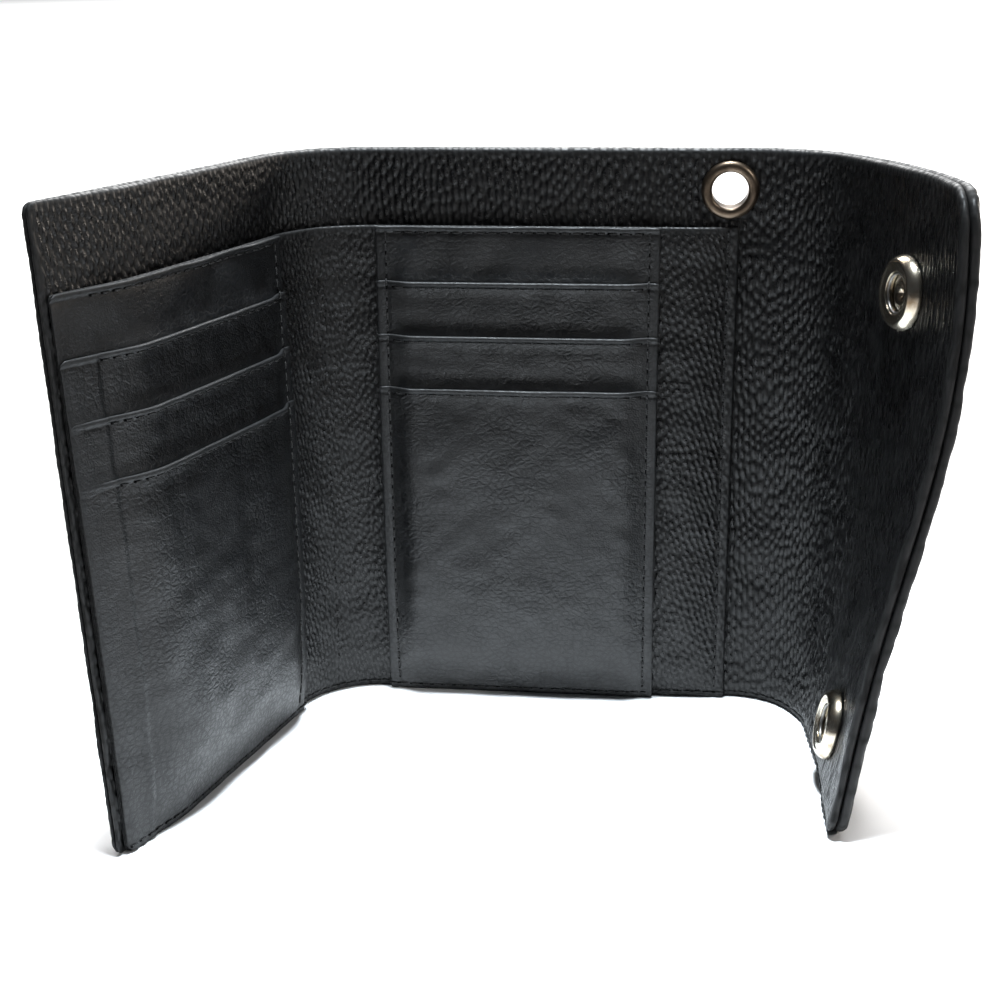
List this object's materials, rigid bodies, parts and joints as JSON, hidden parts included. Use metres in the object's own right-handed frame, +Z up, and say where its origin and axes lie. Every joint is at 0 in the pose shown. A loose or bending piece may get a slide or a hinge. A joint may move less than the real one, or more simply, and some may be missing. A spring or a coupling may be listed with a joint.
{
  "type": "chain wallet",
  "caption": "Trifold leather wallet standing open, with bill pocket, card slots, a snap flap and an eyelet for a chain.",
  "frame": {"origin": "on the bottom edge of the outer shell, in the middle of its thickness, below the middle of the centre card stack", "axes": "+Z up, +X to the right along the unfolded wallet, inside of the wallet faces -Y"},
  "size_m": [0.1693, 0.0913, 0.128],
  "materials": {
    "shell_leather": "black pebbled leather, semi-gloss",
    "lining_leather": "black pebbled leather, semi-gloss",
    "smooth_leather": "black leather with a fine crease, soft gloss",
    "nickel": "warm polished nickel",
    "spring_steel": "drawn wire"
  },
  "bodies": {
    "centre": {"shell_centre": "shell_leather", "lining_centre": "lining_leather", "bill_panel_centre": "lining_leather", "centre_backing": "smooth_leather", "centre_slot_1": "smooth_leather", "centre_slot_2": "smooth_leather", "centre_slot_3": "smooth_leather", "eyelet_barrel": "nickel", "eyelet_washer": "nickel"},
    "left_fold": {"shell_left_fold": "shell_leather", "lining_left_fold": "lining_leather", "bill_panel_left_fold": "lining_leather"},
    "left_panel": {"shell_left": "shell_leather", "lining_left": "lining_leather", "bill_panel_left": "lining_leather", "left_backing": "smooth_leather", "left_slot_1": "smooth_leather", "left_slot_2": "smooth_leather", "left_slot_3": "smooth_leather", "stud_upper": "nickel", "stud_post_upper": "nickel", "stud_lower": "nickel", "stud_post_lower": "nickel"},
    "right_fold": {"shell_right_fold": "shell_leather", "lining_right_fold": "lining_leather"},
    "right_flap": {"shell_flap": "shell_leather", "lining_flap": "lining_leather", "snap_cap_upper": "nickel", "snap_socket_upper": "nickel", "ring_spring_upper": "spring_steel", "snap_cap_lower": "nickel", "snap_socket_lower": "nickel", "ring_spring_lower": "spring_steel"}
  },
  "joints": [
    {"name": "left_fold_centre", "type": "hinge", "parent": "centre", "child": "left_fold", "pos_m": [-0.03931, -0.00234, 0.064], "axis": [0.0001, 0.0003, 1], "range_deg": [-36, 52]},
    {"name": "left_fold_panel", "type": "hinge", "parent": "left_fold", "child": "left_panel", "pos_m": [-0.05051, -0.01086, 0.064], "axis": [-0.0008, 0.0016, 1], "range_deg": [-36, 52]},
    {"name": "right_fold_centre", "type": "hinge", "parent": "centre", "child": "right_fold", "pos_m": [0.05367, -0.00141, 0.064], "axis": [0.001, -0.0015, -1], "range_deg": [-36, 46]},
    {"name": "right_fold_flap", "type": "hinge", "parent": "right_fold", "child": "right_flap", "pos_m": [0.07148, -0.02074, 0.064], "axis": [-0.0488, -0.042, -0.9979], "range_deg": [-36, 46]}
  ],
  "couplings": [
    {"joint": "left_fold_panel", "follows": "left_fold_centre", "ratio": 1},
    {"joint": "right_fold_flap", "follows": "right_fold_centre", "ratio": 1}
  ]
}
